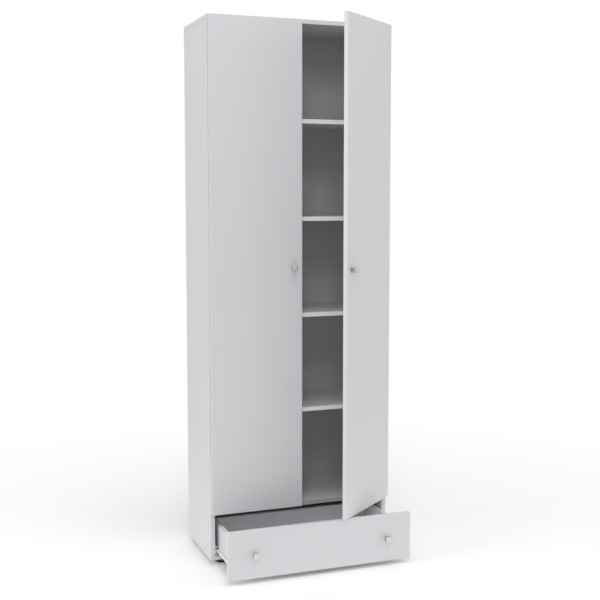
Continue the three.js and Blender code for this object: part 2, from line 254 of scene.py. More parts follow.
def moulded(name, color, shade, roughness, grain):
    look = Look(name, color, roughness)
    look.tint(look.noise(40, 3), shade, color)
    look.rough(look.noise(180, 3), roughness - 0.06, roughness + 0.08)
    look.bump(look.noise(grain, 2), 0.00005, 0.5)
    return look.material


def plated(name, color, shade, roughness):
    look = Look(name, color, roughness, metallic=1.0)
    look.tint(look.noise(90, 4), shade, color)
    look.rough(look.noise(260, 3, (1, 1, 0.2)), roughness - 0.07, roughness + 0.1)
    look.bump(look.noise(700, 2), 0.00003, 0.4)
    return look.material


def epoxy_coat():
    look = Look("epoxy_coat", (0.86, 0.86, 0.86), 0.3)
    look.shader.inputs["Coat Weight"].default_value = 0.3
    look.shader.inputs["Coat Roughness"].default_value = 0.2
    look.tint(look.noise(25, 3), (0.84, 0.84, 0.84), (0.875, 0.875, 0.88))
    look.rough(look.noise(150, 3), 0.26, 0.38)
    look.bump(look.noise(650, 2), 0.00006, 0.6)
    return look.material


def satin_knob(name, shade):
    """Satin metal with a fine grain; shade is its middle grey."""
    look = Look(name, (shade, shade, shade + 0.01), 0.45, metallic=1.0)
    low, high = shade - 0.03, shade + 0.03
    look.tint(look.noise(120, 3), (low, low, low + 0.01), (high, high, high + 0.01))
    look.rough(look.noise(500, 4, (0.15, 1, 1)), 0.4, 0.54)
    look.bump(look.noise(2400, 2, (0.1, 1, 1)), 0.00002, 0.5)
    return look.material


MELAMINE, GLUE, RAW = melamine(), glue_line(), chipboard()
BANDING = edge_band("edge_band", 0.665, (1, 1, 0.15))
# painted light: the shelves' edge band is a brighter copy of the edge band, for the light on the shelf
# fronts between the doors
SHELF_BAND_PAINTED_LIGHT = edge_band("shelf_band_painted_light", 0.875, (0.15, 1, 1))
# painted shade: the drawer divider's edge band is a darker copy of the edge band, for the shade on that
# edge below the doors
DIVIDER_BAND_PAINTED_SHADE = edge_band("divider_band_painted_shade", 0.4, (0.15, 1, 1))
BOARD_SET = (MELAMINE, BANDING, GLUE, RAW)
FACE_MAT, BAND_MAT, GLUE_MAT, RAW_MAT = range(4)
HARDBOARD, WHITE_SHEET = hardboard(), white_sheet()
WHITE_PLASTIC = moulded("white_plastic", (0.82, 0.82, 0.81), (0.78, 0.78, 0.77), 0.38, 900)
# painted shade: the white plastic joint strip is greyed to the shaded tone of the back's inner paint
STRIP_PLASTIC_PAINTED_SHADE = moulded("strip_plastic_painted_shade", (0.6, 0.605, 0.615), (0.57, 0.575, 0.585), 0.45, 900)
BLACK_PLASTIC = moulded("black_plastic", (0.022, 0.022, 0.023), (0.014, 0.014, 0.015), 0.48, 1300)
NICKEL = plated("nickel_plate", (0.66, 0.65, 0.63), (0.56, 0.55, 0.53), 0.28)
ZINC = plated("zinc_screw", (0.58, 0.59, 0.6), (0.44, 0.45, 0.46), 0.36)
EPOXY = epoxy_coat()
# painted light and shade: the knob's face and its sides are a lighter and a darker copy of one satin metal,
# for the light on the face and the shade on the neck and flanks
KNOB_FACE_PAINTED_LIGHT = satin_knob("satin_knob_face_painted_light", 0.74)
KNOB_SIDE_PAINTED_SHADE = satin_knob("satin_knob_side_painted_shade", 0.47)


# ---------- mesh building ----------

def solid_of(bm):
    bmesh.ops.recalc_face_normals(bm, faces=bm.faces)
    return bm


def round_edges(bm, edges, radius):
    bmesh.ops.bevel(bm, geom=edges, offset=radius, segments=2, profile=0.5, affect="EDGES")


def mesh_of(bm, name="part"):
    """Turns a bmesh into a mesh, and frees it."""
    mesh = bpy.data.meshes.new(name)
    bm.to_mesh(mesh)
    bm.free()
    return mesh


def put_in_scene(name, data):
    ob = bpy.data.objects.new(name, data)
    bpy.context.scene.collection.objects.link(ob)
    return ob


def aimed(place, direction, turn=0):
    """Moves the origin to a place and +Z into a direction, after a turn in degrees about +Z."""
    aim = Vector(direction).to_track_quat("Z", "Y").to_matrix().to_4x4()
    return Matrix.Translation(place) @ aim @ Matrix.Rotation(math.radians(turn), 4, "Z")


def rectangle(start, end, low, high):
    """Four corners: a closed outline, or the path of a strip bent into a channel."""
    return [(start, low), (end, low), (end, high), (start, high)]


def cylinder(radius, length):
    """The steps of a plain round bar, for turned()."""
    return [(0, 0), (radius, 0), (radius, length), (0, length)]


def slab(low, high, rounding=0.0):
    """A block, with rounded edges where that is given."""
    low, high = Vector(low), Vector(high)
    bm = bmesh.new()
    place = Matrix.Translation((low + high) / 2) @ Matrix.Diagonal((*(high - low), 1))
    bmesh.ops.create_cube(bm, size=1, matrix=place)
    if rounding:
        round_edges(bm, bm.edges[:], rounding)
    return bm


def turned(steps, start, direction, sides, hollow=False):
    """A round piece from (radius, distance) steps along an axis. A hollow one closes on itself."""
    bm = bmesh.new()
    place = aimed(start, direction)
    angles = [math.tau * k / sides for k in range(sides)]
    rings = []
    for radius, along in steps:
        ring = [Vector((radius * math.cos(a), radius * math.sin(a), along)) for a in angles]
        points = ring if radius else [Vector((0, 0, along))]
        rings.append([bm.verts.new(place @ point) for point in points])
    pairs = list(zip(rings, rings[1:]))
    if hollow:
        pairs.append((rings[-1], rings[0]))
    for lower, upper in pairs:
        for k in range(sides):
            n = (k + 1) % sides
            corners = [ring[i % len(ring)] for ring, i in ((lower, k), (lower, n), (upper, n), (upper, k))]
            bm.faces.new(list(dict.fromkeys(corners)))
    return solid_of(bm)


def softened(outline, radius, steps=4):
    """An outline with each corner rounded; radius is one number, or one for each corner."""
    radii = radius if isinstance(radius, (list, tuple)) else [radius] * len(outline)
    made = []
    for i, corner in enumerate(outline):
        corner = Vector(corner)
        if not radii[i]:
            made.append(corner)
            continue
        before = Vector(outline[i - 1]) - corner
        after = Vector(outline[(i + 1) % len(outline)]) - corner
        half = before.angle(after) / 2
        reach = radii[i] / math.tan(half)
        inward = (before.normalized() + after.normalized()).normalized()
        centre = corner + inward * radii[i] / math.sin(half)
        first = corner + before.normalized() * reach - centre
        last = corner + after.normalized() * reach - centre
        for k in range(steps + 1):
            made.append(centre + first.slerp(last, k / steps) * radii[i])
    return made


def extruded(outline, axes, span, rounding=0.0):
    """An outline in two axes, drawn along the third over a span, with its rims rounded."""
    across, along = axes
    through = 3 - across - along
    bm = bmesh.new()
    loops = []
    for level in span:
        loop = []
        for a, b in outline:
            point = [0.0, 0.0, 0.0]
            point[across], point[along], point[through] = a, b, level
            loop.append(bm.verts.new(point))
        loops.append(loop)
    rims = [bm.faces.new(loop) for loop in loops]
    for k in range(len(outline)):
        n = (k + 1) % len(outline)
        bm.faces.new([loops[0][k], loops[0][n], loops[1][n], loops[1][k]])
    solid_of(bm)
    if rounding:
        round_edges(bm, [edge for rim in rims for edge in rim.edges], rounding)
    return bm


def folded(path, thick, bend):
    """The outline of a folded strip of sheet metal, from the middle line of its section.
    bend is the radius inside each fold."""
    points = [Vector(p) for p in path]
    sides = ([], [])
    for i, point in enumerate(points):
        before = (point - points[i - 1]).normalized() if i else (points[1] - point).normalized()
        after = (points[i + 1] - point).normalized() if i + 1 < len(points) else before
        normal = Vector((-before.y, before.x)) + Vector((-after.y, after.x))
        normal = normal.normalized() * (thick / 2) / math.cos(before.angle(after) / 2)
        sides[0].append(point + normal)
        sides[1].append(point - normal)
    outline = sides[0] + sides[1][::-1]
    end_radius = thick * 0.3
    radii = []
    for i in range(len(outline)):
        j = min(i, len(outline) - 1 - i)
        if j in (0, len(points) - 1):
            radii.append(end_radius)
            continue
        before, after = points[j] - points[j - 1], points[j + 1] - points[j]
        turns_left = before.cross(after) > 0
        radii.append(bend if turns_left == (i < len(points)) else bend + thick)
    return softened(outline, radii)


def combined(first, second, operation):
    """Two solids joined or cut by an exact boolean; faces keep their material index."""
    objects = []
    for part in (first, second):
        mesh = mesh_of(part)
        for material in BOARD_SET:
            mesh.materials.append(material)
        objects.append(put_in_scene("part", mesh))
    boolean = objects[0].modifiers.new("boolean", "BOOLEAN")
    boolean.operation = operation
    boolean.object = objects[1]
    boolean.solver = "EXACT"
    boolean.material_mode = "INDEX"
    shaped = objects[0].evaluated_get(bpy.context.evaluated_depsgraph_get())
    result = bmesh.new()
    result.from_mesh(shaped.to_mesh())
    shaped.to_mesh_clear()
    for ob in objects:
        mesh = ob.data
        bpy.data.objects.remove(ob)
        bpy.data.meshes.remove(mesh)
    return result


def gather(whole, part):
    """Moves a part's faces into a larger bmesh."""
    mesh = mesh_of(part)
    whole.from_mesh(mesh)
    bpy.data.meshes.remove(mesh)


def cut(bm, cutters, material_index=0):
    """Takes the cutters away from a solid; the new walls get that material."""
    tools = bmesh.new()
    for cutter in cutters:
        gather(tools, cutter)
    for face in tools.faces:
        face.material_index = material_index
    return combined(bm, tools, "DIFFERENCE")


class Assembly:
    """Several solids and materials that make up one piece."""

    def __init__(self, *materials):
        self.bm = bmesh.new()
        self.materials = materials

    def add(self, part, material=None, at=None):
        if at is not None:
            part.transform(at)
        if material is not None:
            for face in part.faces:
                face.material_index = self.materials.index(material)
        gather(self.bm, part)

    def finish(self, name, body, replaces=(), at=None, smooth=32):
        """Makes the piece; at places it, and edges sharper than smooth degrees stay sharp."""
        mesh = mesh_of(self.bm, name)
        if at is not None:
            mesh.transform(at)
        for material in self.materials:
            mesh.materials.append(material)
        for polygon in mesh.polygons:
            polygon.use_smooth = True
        mesh.set_sharp_from_angle(angle=math.radians(smooth))
        piece = put_in_scene(name, mesh)
        weighted = piece.modifiers.new("weighted", "WEIGHTED_NORMAL")
        weighted.keep_sharp = True
        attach(piece, body)
        if replaces:
            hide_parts(*replaces)


def carried(name, material, rounding):
    """A CAD node that stays: it gets a material, and its edges are eased."""
    node = frame["nodes"][name]
    node.data.materials.clear()
    node.data.materials.append(material)
    weld = node.modifiers.new("weld", "WELD")
    weld.merge_threshold = WELD_DISTANCE
    flat = node.modifiers.new("flat", "DECIMATE")
    flat.decimate_type = "DISSOLVE"
    flat.angle_limit = FLAT_ANGLE
    bevel = node.modifiers.new("eased", "BEVEL")
    bevel.width = rounding
    bevel.segments = 2
    bevel.limit_method = "ANGLE"
    bevel.harden_normals = True


def middle(name):
    """The centre of a node's box."""
    low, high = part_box(name)
    return (low + high) / 2


# ---------- boards ----------

EDGE_NORMAL = 0.3  # a face lies on an edge where its normal's part across the board is less


def board(low, high, banded, holes):
    """A melamine-faced board. banded names its sides with an edge band, such as "-y"; others show chips."""
    low, high = Vector(low), Vector(high)
    size = high - low
    thin = min(range(3), key=lambda k: size[k])
    bm = slab(low, high, BOARD_ROUND)
    bands = [("xyz".index(side[1]), -1 if side[0] == "-" else 1) for side in banded]
    for axis, sign in bands:
        edge = (high if sign > 0 else low)[axis]
        normal = Vector([sign * (k == axis) for k in range(3)])
        for inset in (BAND, BAND + SEAM):
            everything = bm.verts[:] + bm.edges[:] + bm.faces[:]
            point = normal * sign * (edge - sign * inset)
            bmesh.ops.bisect_plane(bm, geom=everything, plane_co=point, plane_no=normal)
    for face in bm.faces:
        face.material_index = board_material(face, low, high, thin, bands)
    return cut(bm, holes, RAW_MAT) if holes else bm


def board_material(face, low, high, thin, bands):
    """The material index of one face of a board, by where its middle lies."""
    centre = face.calc_center_median()
    inset = {}
    for axis in (0, 1, 2):
        if axis != thin:
            inset[axis, -1] = centre[axis] - low[axis]
            inset[axis, 1] = high[axis] - centre[axis]
    if abs(face.normal[thin]) < EDGE_NORMAL:
        nearest = min(inset, key=inset.get)
        return BAND_MAT if nearest in bands else RAW_MAT
    closest = min([inset[band] for band in bands], default=1.0)
    if closest < BAND:
        return BAND_MAT
    return GLUE_MAT if closest < BAND + SEAM else FACE_MAT


def drill(centre, direction, radius, depth, sides=20):
    """A cutter for a blind hole that starts just outside the surface at centre."""
    start = Vector(centre) - Vector(direction) * OVERCUT
    return turned(cylinder(radius, depth + OVERCUT), start, direction, sides)


def make_board(name, body, banded, holes=(), at=None, box=None, band=BANDING):
    """The board that stands for a CAD node. A box of its own is given where at then places the board."""
    low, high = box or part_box(name)
    assembly = Assembly(MELAMINE, band, GLUE, RAW)
    assembly.add(board(low, high, banded, holes))
    assembly.finish(name + "_board", body, [name], at=at)


# ---------- screws ----------

def cross_recess(top, depth, reach):
    """A cutter in the shape of a cross, along Z on both sides of the height top."""
    arm = reach * 0.32
    quarter = [Vector((reach, -arm)), Vector((reach, arm)), Vector((arm, arm))]
    turns = [Matrix.Rotation(math.radians(90 * k), 2) for k in range(4)]
    cross = extruded([turn @ corner for turn in turns for corner in quarter], (0, 1), (-depth, depth))
    cross.transform(Matrix.Translation(UP * top))
    return cross


def screw_head(radius, height, countersunk):
    """A cross-head screw seen from outside, on the plane z = 0 and along +Z."""
    low = -0.6 * MM
    if countersunk:
        steps = [(0, low), (radius * 0.8, low), (radius, 0), (radius * 0.98, height * 0.4), (0, height)]
    else:
        steps = [(0, low), (radius * 0.9, low), (radius, 0.15 * MM), (radius * 0.97, height * 0.5)]
        steps += [(radius * 0.78, height * 0.86), (radius * 0.4, height), (0, height)]
    head = turned(steps, (0, 0, 0), UP, 24)
    return cut(head, [cross_recess(height, height * 0.9, radius * 0.55)])


HEAD_TYPES = {  # radius, height and whether it is countersunk
    "pan": (3.6 * MM, 1.9 * MM, False),
    "flat": (3.7 * MM, 0.5 * MM, True),
    "set": (2.9 * MM, 0.7 * MM, False),
}
head_meshes = {kind: mesh_of(screw_head(*sizes), "head_" + kind) for kind, sizes in HEAD_TYPES.items()}


def add_screw(assembly, kind, centre, direction, turn=20):
    """A zinc screw's head at centre, facing the direction, with its cross turned by some degrees."""
    head = bmesh.new()
    head.from_mesh(head_meshes[kind])
    assembly.add(head, ZINC, aimed(centre, direction, turn))


# ---------- the carcass ----------

side_low, side_high = {}, {}
for side, _ in SIDES:
    side_low[side], side_high[side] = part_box("side_panel_" + side)
inner_face = {"left": side_high["left"].x, "right": side_low["right"].x}
FRONT_Y = side_low["left"].y
REAR_Y = side_high["left"].y
shelf_boxes = [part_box(f"shelf_{i}") for i in (1, 2, 3, 4)]
PIN_ROWS = (FRONT_Y + HOLE_ROW, REAR_Y - HOLE_ROW)
CAM_ROWS = (FRONT_Y + CAM_ROW, REAR_Y - CAM_ROW)


def inward_scale(side, s):
    """Gives X for a distance inwards from a side panel's inner face."""
    return lambda distance: inner_face[side] - s * distance


def inward_limits(name, side, s):
    """How far inwards from a side panel's inner face a node starts and ends."""
    return sorted(s * (inner_face[side] - limit.x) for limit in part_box(name))


def side_panel(side, s):
    """A side with a group of three pin holes at each shelf's end, and two cams near its upper end."""
    outward = Vector((s, 0, 0))
    holes = []
    for low, _ in shelf_boxes:
        for y in PIN_ROWS:
            for step in (-1, 0, 1):
                z = low.z - PIN_DROP + step * HOLE_PITCH
                holes.append(drill((inner_face[side], y, z), outward, HOLE_RADIUS, HOLE_DEPTH))
    cams = Assembly(ZINC)
    for y in CAM_ROWS:
        centre = Vector((inner_face[side], y, side_high[side].z - CAM_FROM_END))
        holes.append(drill(centre, outward, CAM_RADIUS, CAM_DEPTH, 32))
        cam_fitting(cams, centre, outward)
    make_board("side_panel_" + side, "carcass", ["-y"], holes)
    cams.finish("cam_fittings_" + side, "carcass")


def cam_fitting(assembly, centre, outward):
    """A round cam sunk in its hole, with a raised rim and a cross slot."""
    radius = CAM_RADIUS - 0.25 * MM
    rim, dish, step = 11 * MM, 10.2 * MM, 0.6 * MM
    steps = [(0, 0), (radius, 0), (radius, rim - 0.4 * MM), (radius - step, rim)]
    steps += [(radius - 2 * step, rim), (radius - 3 * step, dish), (0, dish)]
    cam = turned(steps, (0, 0, 0), UP, 32)
    slotted = cut(cam, [cross_recess(dish, 3 * MM, 3.4 * MM)])
    assembly.add(slotted, ZINC, aimed(centre + outward * (rim + CAM_SUNK), -outward, 35))


def level_boards():
    for name in ("top_panel", "bottom_panel"):
        make_board(name, "carcass", ["-y", "-x", "+x"])
    make_board("drawer_divider", "carcass", ["-y"], band=DIVIDER_BAND_PAINTED_SHADE)
    for i in (1, 2, 3, 4):
        make_board(f"shelf_{i}", "carcass", ["-y"], band=SHELF_BAND_PAINTED_LIGHT)


def shelf_pins():
    """Four pins under each shelf: a peg in the side panel, a collar, and a nose that the shelf lies on."""
    peg, collar = HOLE_RADIUS - 0.1 * MM, HOLE_RADIUS - 0.05 * MM
    steps = [(0, -7 * MM), (peg * 0.8, -7 * MM), (peg, -6.2 * MM), (peg, 0.1 * MM)]
    steps += [(collar, 0.1 * MM), (collar, 1.1 * MM), (peg, 1.3 * MM), (peg, 7.4 * MM)]
    steps += [(peg * 0.75, 8 * MM), (0, 8 * MM)]
    for i, (low, _) in enumerate(shelf_boxes, 1):
        pins = Assembly(NICKEL)
        for side, s in SIDES:
            for y in PIN_ROWS:
                centre = (inner_face[side], y, low.z - PIN_DROP)
                pins.add(turned(steps, centre, (-s, 0, 0), 20), NICKEL)
        pins.finish(f"shelf_pins_{i}", "carcass")


def back():
    carried("back_panel_lower", HARDBOARD, 0.3 * MM)
    carried("back_panel_upper", HARDBOARD, 0.3 * MM)
    carried("back_joint_strip", STRIP_PLASTIC_PAINTED_SHADE, 0.2 * MM)


def back_nails():
    """Nails round the back's edges, except at its joint, and a row into the drawer divider."""
    low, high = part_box("back_panel_lower")[0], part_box("back_panel_upper")[1]
    left, right = low.x + NAIL_INSET, high.x - NAIL_INSET
    lowest, highest = low.z + NAIL_INSET, high.z - NAIL_INSET
    across = spaced(left, right)[1:-1]
    places = [(x, z) for x in (left, right) for z in spaced(lowest, highest)]
    places += [(x, z) for z in (lowest, highest, middle("drawer_divider").z) for x in across]
    joint_low, joint_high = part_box("back_joint_strip")
    steps = [(0, -0.2 * MM), (1.9 * MM, -0.2 * MM), (2.1 * MM, 0.15 * MM)]
    steps += [(1.7 * MM, 0.55 * MM), (0, 0.75 * MM)]
    nails = Assembly(ZINC)
    for x, z in places:
        if not joint_low.z < z < joint_high.z:
            nails.add(turned(steps, (x, high.y, z), REARWARD, 14), ZINC)
    nails.finish("back_nails", "carcass")


def spaced(start, end):
    """Evenly spaced places from start to end, about a nail pitch apart."""
    count = round((end - start) / NAIL_PITCH)
    return [start + (end - start) * k / count for k in range(count + 1)]


def foot(name):
    """A round glide: a broad sole, a waist, and a collar under the bottom panel."""
    low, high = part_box(name)
    radius, height = (high.x - low.x) / 2, high.z
    steps = [(0, 0), (radius - 4 * MM, 0), (radius - 1.6 * MM, 0.6 * MM), (radius, 3 * MM)]
    steps += [(radius, 6.5 * MM), (radius - 0.5 * MM, 7.2 * MM), (radius - 1.6 * MM, 7.6 * MM)]
    steps += [(radius - 2 * MM, height - 4.6 * MM), (radius - 0.6 * MM, height - 3.6 * MM)]
    steps += [(radius, height - 2.8 * MM), (radius, height - 0.5 * MM)]
    steps += [(radius - 0.5 * MM, height), (0, height)]
    centre = middle(name)
    glide = Assembly(BLACK_PLASTIC)
    glide.add(turned(steps, (centre.x, centre.y, 0), UP, 48), BLACK_PLASTIC)
    glide.finish(name + "_glide", "carcass", [name])


def bottom_screws():
    """Sunk screw heads under the bottom panel, into the middle of the side panels."""
    low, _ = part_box("bottom_panel")
    screws = Assembly(ZINC)
    for side, _ in SIDES:
        for y in CAM_ROWS:
            add_screw(screws, "flat", (middle("side_panel_" + side).x, y, low.z), DOWN)
    screws.finish("bottom_screws", "carcass")


# ---------- hinges ----------

joint = {j["name"]: j for j in frame["joints"]}
left_axis = Vector(joint["door_left_swing"]["pos_m"])
door_low, door_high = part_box("door_left")
PIVOT_INSET = left_axis.x - door_low.x
INNER_FACE = door_high.y - left_axis.y
OUTER_FACE = door_low.y - left_axis.y
DOOR_WIDTH = door_high.x - door_low.x
hinge_heights = [middle(f"hinge_arm_left_{i}").z for i in (1, 2, 3)]


def door_place(side, s):
    """From a door's own frame, drawn shut around its hinge axis, to where it stands."""
    swing = joint[f"door_{side}_swing"]
    x, y, _ = swing["pos_m"]
    standing_open = math.radians(-swing["range_deg"][0]) if s > 0 else 0.0
    return Matrix.Translation((x, y, 0)) @ Matrix.Rotation(s * standing_open, 4, "Z")


def door_scale(s):
    """Gives X in a door's own frame for a distance from its hinge edge."""
    return lambda distance: s * (PIVOT_INSET - distance)


def from_hinge(node):
    """The distance of a left door node's middle from the door's hinge edge, and half its width."""
    low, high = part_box(node)
    return (low.x + high.x) / 2 - door_low.x, (high.x - low.x) / 2


def hinge_cup(side, s, i, z, at):
    """A drawn cup sunk in the door, with a round flange, two screwed wings and an open mouth."""
    name = f"hinge_cup_{side}_{i}"
    x = door_scale(s)
    centre, flange_radius = from_hinge(f"hinge_cup_left_{i}")
    outer = flange_radius - CUP_RIM
    inner = outer - CUP_WALL
    face = INNER_FACE + GAP
    brim = CUP_DEPTH + GAP + 0.2 * MM
    bowl = [(0, 0), (outer - 2.2 * MM, 0), (outer - 0.6 * MM, 0.7 * MM), (outer, 2.4 * MM)]
    bowl += [(outer, brim), (inner, brim), (inner, 3.4 * MM)]
    bowl += [(outer - 2 * MM, 1.7 * MM), (outer - 4 * MM, 0.9 * MM), (0, 0.9 * MM)]
    flange = [(0, 0), (flange_radius, 0), (flange_radius, 0.7 * CUP_FLANGE)]
    flange += [(flange_radius - 0.3 * MM, CUP_FLANGE), (0, CUP_FLANGE)]
    wing_centre, wing_half, wing_reach = centre + 8.5 * MM, 9 * MM, 29 * MM
    wing = rectangle(x(wing_centre - wing_half), x(wing_centre + wing_half), z - wing_reach, z + wing_reach)
    disc = turned(flange, (x(centre), face, z), REARWARD, 48)
    wings = extruded(softened(wing, 5.5 * MM, 6), (0, 2), (face, face + CUP_FLANGE), 0.25 * MM)
    mouth = turned(cylinder(inner, 4 * MM), (x(centre), face - 1.5 * MM, z), REARWARD, 48)
    cup = Assembly(NICKEL, ZINC)
    cup.add(turned(bowl, (x(centre), INNER_FACE - CUP_DEPTH, z), REARWARD, 48), NICKEL)
    cup.add(cut(combined(disc, wings, "UNION"), [mouth]), NICKEL)
    for dz in (-24 * MM, 24 * MM):
        add_screw(cup, "flat", (x(wing_centre), face + CUP_FLANGE, z + dz), REARWARD, 30 + i * 17)
    cup.finish(name + "_detail", f"door_{side}", [name], at=at)


def hinge_arm(side, s, i, z):
    """The arm: a neck that reaches into the cup and turns outwards, and a channel over the plate."""
    name = f"hinge_arm_{side}_{i}"
    x = inward_scale(side, s)
    low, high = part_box(name)
    end, top = inward_limits(name, side, s)
    thick, nose_thick = 1.8 * MM, 1.4 * MM
    neck_rear, channel_front = high.y - 36 * MM, high.y - 38 * MM
    nose = [(x(top - thick), neck_rear), (x(top), neck_rear), (x(top), low.y), (x(end), low.y),
            (x(end), low.y + nose_thick), (x(top - thick), low.y + nose_thick)]
    nose = softened(nose, [0, 0, 3 * MM, 0.6 * MM, 0.6 * MM, 1.4 * MM], 6)
    crown, foot_edge = top - ARM_WALL / 2, 2.9 * MM
    flank = 9.6 * MM - ARM_WALL / 2
    section = rectangle(x(foot_edge), x(crown), z - flank, z + flank)
    arm = Assembly(NICKEL, ZINC)
    arm.add(extruded(nose, (0, 1), (low.z, high.z), 0.3 * MM), NICKEL)
    channel = folded(section, ARM_WALL, 1.2 * MM)
    arm.add(extruded(channel, (0, 2), (channel_front, high.y), 0.2 * MM), NICKEL)
    for y, kind in ((channel_front + 9 * MM, "set"), (high.y - 11 * MM, "pan")):
        add_screw(arm, kind, (x(top - 0.2 * MM), y, z), (-s, 0, 0), 40 * i)
    arm.finish(name + "_detail", "carcass", [name])


def hinge_plate(side, s, i, z):
    """A cross-shaped mounting plate: two winged screw lugs and a raised rib under the arm."""
    name = f"hinge_plate_{side}_{i}"
    x = inward_scale(side, s)
    low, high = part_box(name)
    screw_y, lug_half, rib_half = middle(name).y - 2 * MM, 8 * MM, 7.8 * MM
    lugs = softened(rectangle(screw_y - lug_half, screw_y + lug_half, low.z, high.z), 6 * MM, 6)
    rib = softened(rectangle(low.y, high.y, z - rib_half, z + rib_half), 2 * MM)
    plate = Assembly(NICKEL, ZINC)
    plate.add(extruded(lugs, (1, 2), sorted((x(GAP), x(2.5 * MM))), 0.4 * MM), NICKEL)
    plate.add(extruded(rib, (1, 2), sorted((x(GAP), x(7.9 * MM))), 0.6 * MM), NICKEL)
    for dz in (-16 * MM, 16 * MM):
        add_screw(plate, "pan", (x(2.4 * MM), screw_y, z + dz), (-s, 0, 0), 15 + 25 * i)
    plate.finish(name + "_detail", "carcass", [name])


# ---------- knobs ----------

def squared_ring(half, corner, sides=48):
    """Points evenly spaced in angle round a square with rounded corners, a circle where corner = half."""
    straight = half - corner
    points = []
    for k in range(sides):
        angle = math.tau * (k + 0.5) / sides
        c, s = math.cos(angle), math.sin(angle)
        reach = half / max(abs(c), abs(s))
        if min(abs(c), abs(s)) * reach > straight:
            # the ray meets the arc round the corner's own centre, at (straight, straight)
            nearest = (abs(c) + abs(s)) * straight
            reach = nearest + math.sqrt(nearest * nearest - 2 * straight * straight + corner * corner)
        points.append((c * reach, s * reach))
    return points


def knob_shape(half, reach):
    """A square knob with soft edges on a round neck, along +Z. Material 0 is its face, in the lighter tone
    of painted light, and 1 the rest, in the darker tone of painted shade.
    """
    neck = 5.4 * MM
    face_start = reach - KNOB_FACE_DEPTH
    sections = [  # half width, corner rounding as a share of it, and distance along Z
        (7.2 * MM, 1, 0), (7.2 * MM, 1, 0.7 * MM), (6.6 * MM, 1, 1.3 * MM), (neck, 1, 1.7 * MM),
        (neck, 1, 7.6 * MM), (neck + 0.5 * MM, 1, 9 * MM), (half * 0.72, 0.7, 10.6 * MM),
        (half * 0.9, 0.45, 11.4 * MM), (half * 0.985, 0.36, 12.3 * MM), (half, 0.33, 13.2 * MM),
        (half, 0.33, reach - 2.6 * MM), (half * 0.985, 0.33, reach - 1.6 * MM),
        (half * 0.93, 0.34, reach - 0.75 * MM), (half * 0.84, 0.36, reach - 0.25 * MM),
        (half * 0.7, 0.4, reach - 0.08 * MM), (half * 0.35, 0.6, reach),
    ]
    bm = bmesh.new()
    rings = [
        [bm.verts.new((px, py, along)) for px, py in squared_ring(size, size * roundness)]
        for size, roundness, along in sections
    ]
    for lower, upper, (_, _, along) in zip(rings, rings[1:], sections):
        for k in range(len(lower)):
            n = (k + 1) % len(lower)
            face = bm.faces.new([lower[k], lower[n], upper[n], upper[k]])
            # the face gets the lighter copy as painted light, and the neck and flanks the darker copy as
            # painted shade
            face.material_index = 1 if along < face_start else 0
    bm.faces.new(rings[0]).material_index = 1
    bm.faces.new(rings[-1])
    return solid_of(bm)


def knob(name, body, centre, half, reach, screw_face, at=None):
    """A knob on the face at centre, looking along -Y, and its screw on the inner face."""
    place = Matrix.Translation(centre) @ Matrix.Rotation(math.radians(90), 4, "X")
    piece = Assembly(KNOB_FACE_PAINTED_LIGHT, KNOB_SIDE_PAINTED_SHADE)
    piece.add(knob_shape(half, reach), at=place)
    piece.finish(name + "_detail", body, [name], at=at, smooth=40)
    screw = Assembly(ZINC)
    add_screw(screw, "pan", (centre[0], screw_face, centre[2]), REARWARD, 25)
    screw.finish(name + "_screw", body, at=at)


# ---------- doors ----------

def buffer(side, s, which, at):
    """A small dome on the door's inner face, which meets the carcass when the door shuts."""
    like = f"buffer_{which}_left"
    from_edge, radius = from_hinge(like)
    low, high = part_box(like)
    height = high.y - low.y
    steps = [(0, 0), (radius, 0), (radius, height * 0.25), (radius * 0.93, height * 0.55)]
    steps += [(radius * 0.75, height * 0.82), (radius * 0.42, height * 0.97), (0, height)]
    place = (door_scale(s)(from_edge), low.y - left_axis.y, middle(like).z)
    dome = Assembly(WHITE_PLASTIC)
    dome.add(turned(steps, place, REARWARD, 28), WHITE_PLASTIC)
    name = f"buffer_{which}_{side}"
    dome.finish(name + "_dome", f"door_{side}", [name], at=at)


def door(side, s):
    """A door with all that it carries, and the arms and plates of its hinges on the carcass."""
    at = door_place(side, s)
    x = door_scale(s)
    ends = sorted((x(0), x(DOOR_WIDTH)))
    box = (Vector((ends[0], OUTER_FACE, door_low.z)), Vector((ends[1], INNER_FACE, door_high.z)))
    cup_centre, flange_radius = from_hinge("hinge_cup_left_1")
    radius, depth = flange_radius - CUP_RIM + GAP, CUP_DEPTH + GAP
    pockets = [drill((x(cup_centre), INNER_FACE, z), -REARWARD, radius, depth, 48) for z in hinge_heights]
    make_board("door_" + side, "door_" + side, ["-x", "+x", "-z", "+z"], pockets, at=at, box=box)
    for i, z in enumerate(hinge_heights, 1):
        hinge_cup(side, s, i, z, at)
        hinge_arm(side, s, i, z)
        hinge_plate(side, s, i, z)
    from_edge, knob_half = from_hinge("knob_door_left")
    centre = (x(from_edge), OUTER_FACE, middle("knob_door_left").z)
    reach = door_low.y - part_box("knob_door_left")[0].y
    knob(f"knob_door_{side}", "door_" + side, centre, knob_half, reach, INNER_FACE, at)
    for which in ("upper", "lower"):
        buffer(side, s, which, at)


# ---------- drawer and runners ----------

def drawer():
    front_low, front_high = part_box("drawer_front")
    make_board("drawer_front", "drawer", ["-x", "+x", "-z", "+z"], [bottom_groove("drawer_front")])
    for side, s in SIDES:
        make_board("drawer_side_" + side, "drawer", ["+z"], [bottom_groove("drawer_side_" + side, s)])
        name = "knob_drawer_" + side
        low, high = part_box(name)
        centre = (middle(name).x, front_low.y, middle(name).z)
        knob(name, "drawer", centre, (high.x - low.x) / 2, front_low.y - low.y, front_high.y)
    make_board("drawer_back", "drawer", ["+z"], [bottom_groove("drawer_back")])
    carried("drawer_bottom", WHITE_SHEET, 0.3 * MM)


